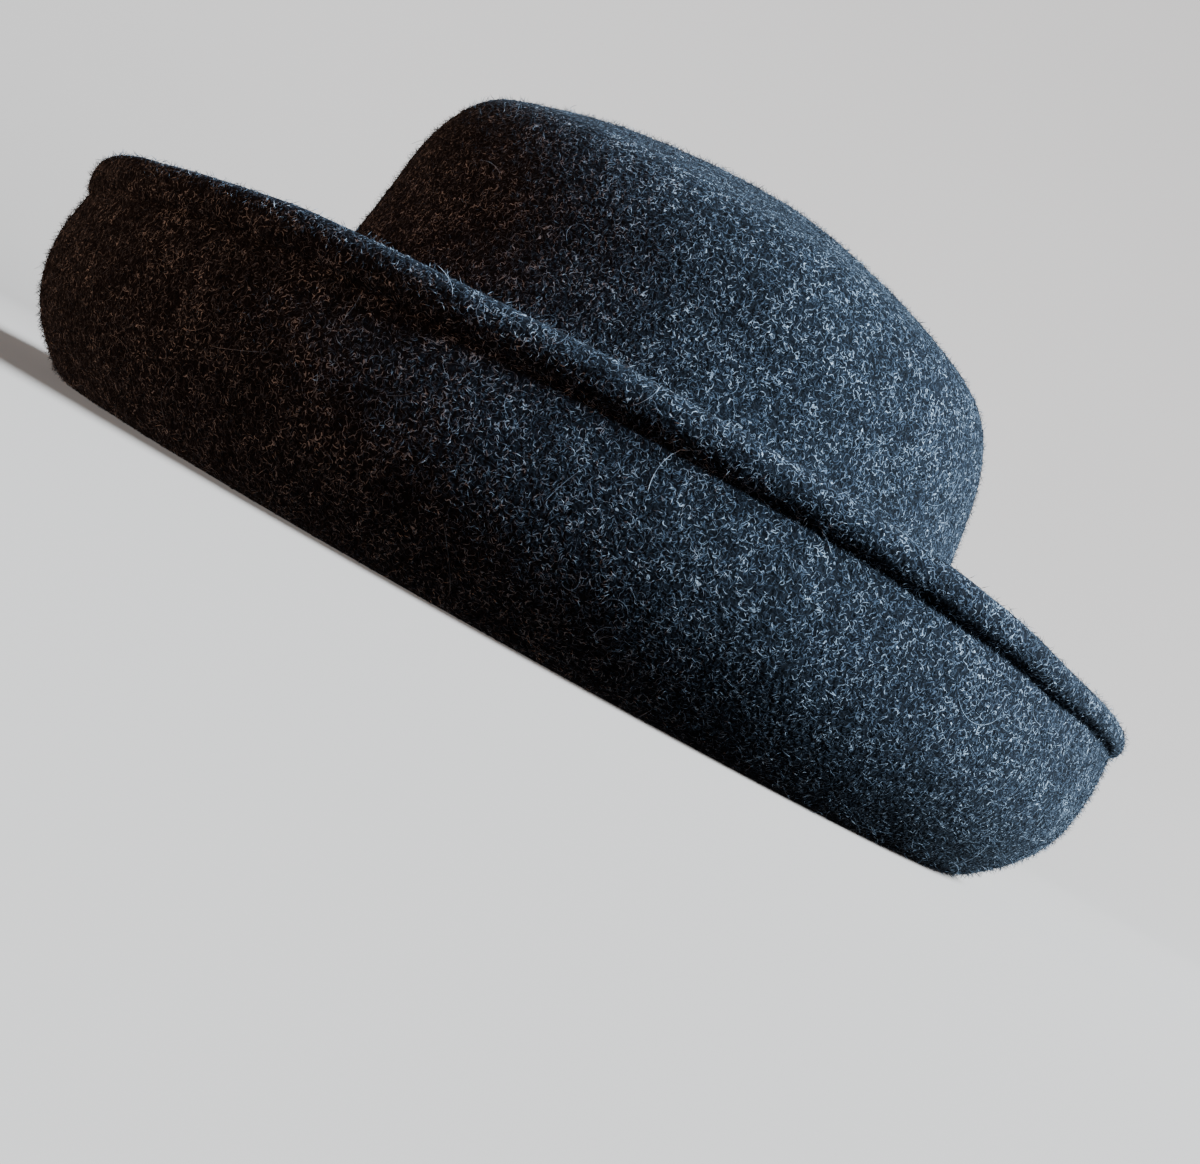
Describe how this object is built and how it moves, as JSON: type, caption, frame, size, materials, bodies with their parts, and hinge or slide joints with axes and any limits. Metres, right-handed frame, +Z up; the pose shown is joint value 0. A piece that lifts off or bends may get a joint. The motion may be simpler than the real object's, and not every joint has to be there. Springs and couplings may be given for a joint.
{
  "type": "wool felt hat with upturned brim",
  "caption": "Hollow blocked wool felt hat: tall oval crown with round shoulders, and a deep brim turned up all round to a rolled lip.",
  "frame": {"origin": "on the surface the brim stands on, below the middle of the brim's length and width", "axes": "+Z up through the crown, -Y to the front of the hat, +Y to the back, +X to the wearer's left"},
  "size_m": [0.288, 0.3204, 0.1385],
  "materials": {
    "wool_felt": "matt heathered charcoal and navy wool felt with fine pale fibres"
  },
  "bodies": {
    "root": {"felt_body": "wool_felt"}
  },
  "joints": []
}
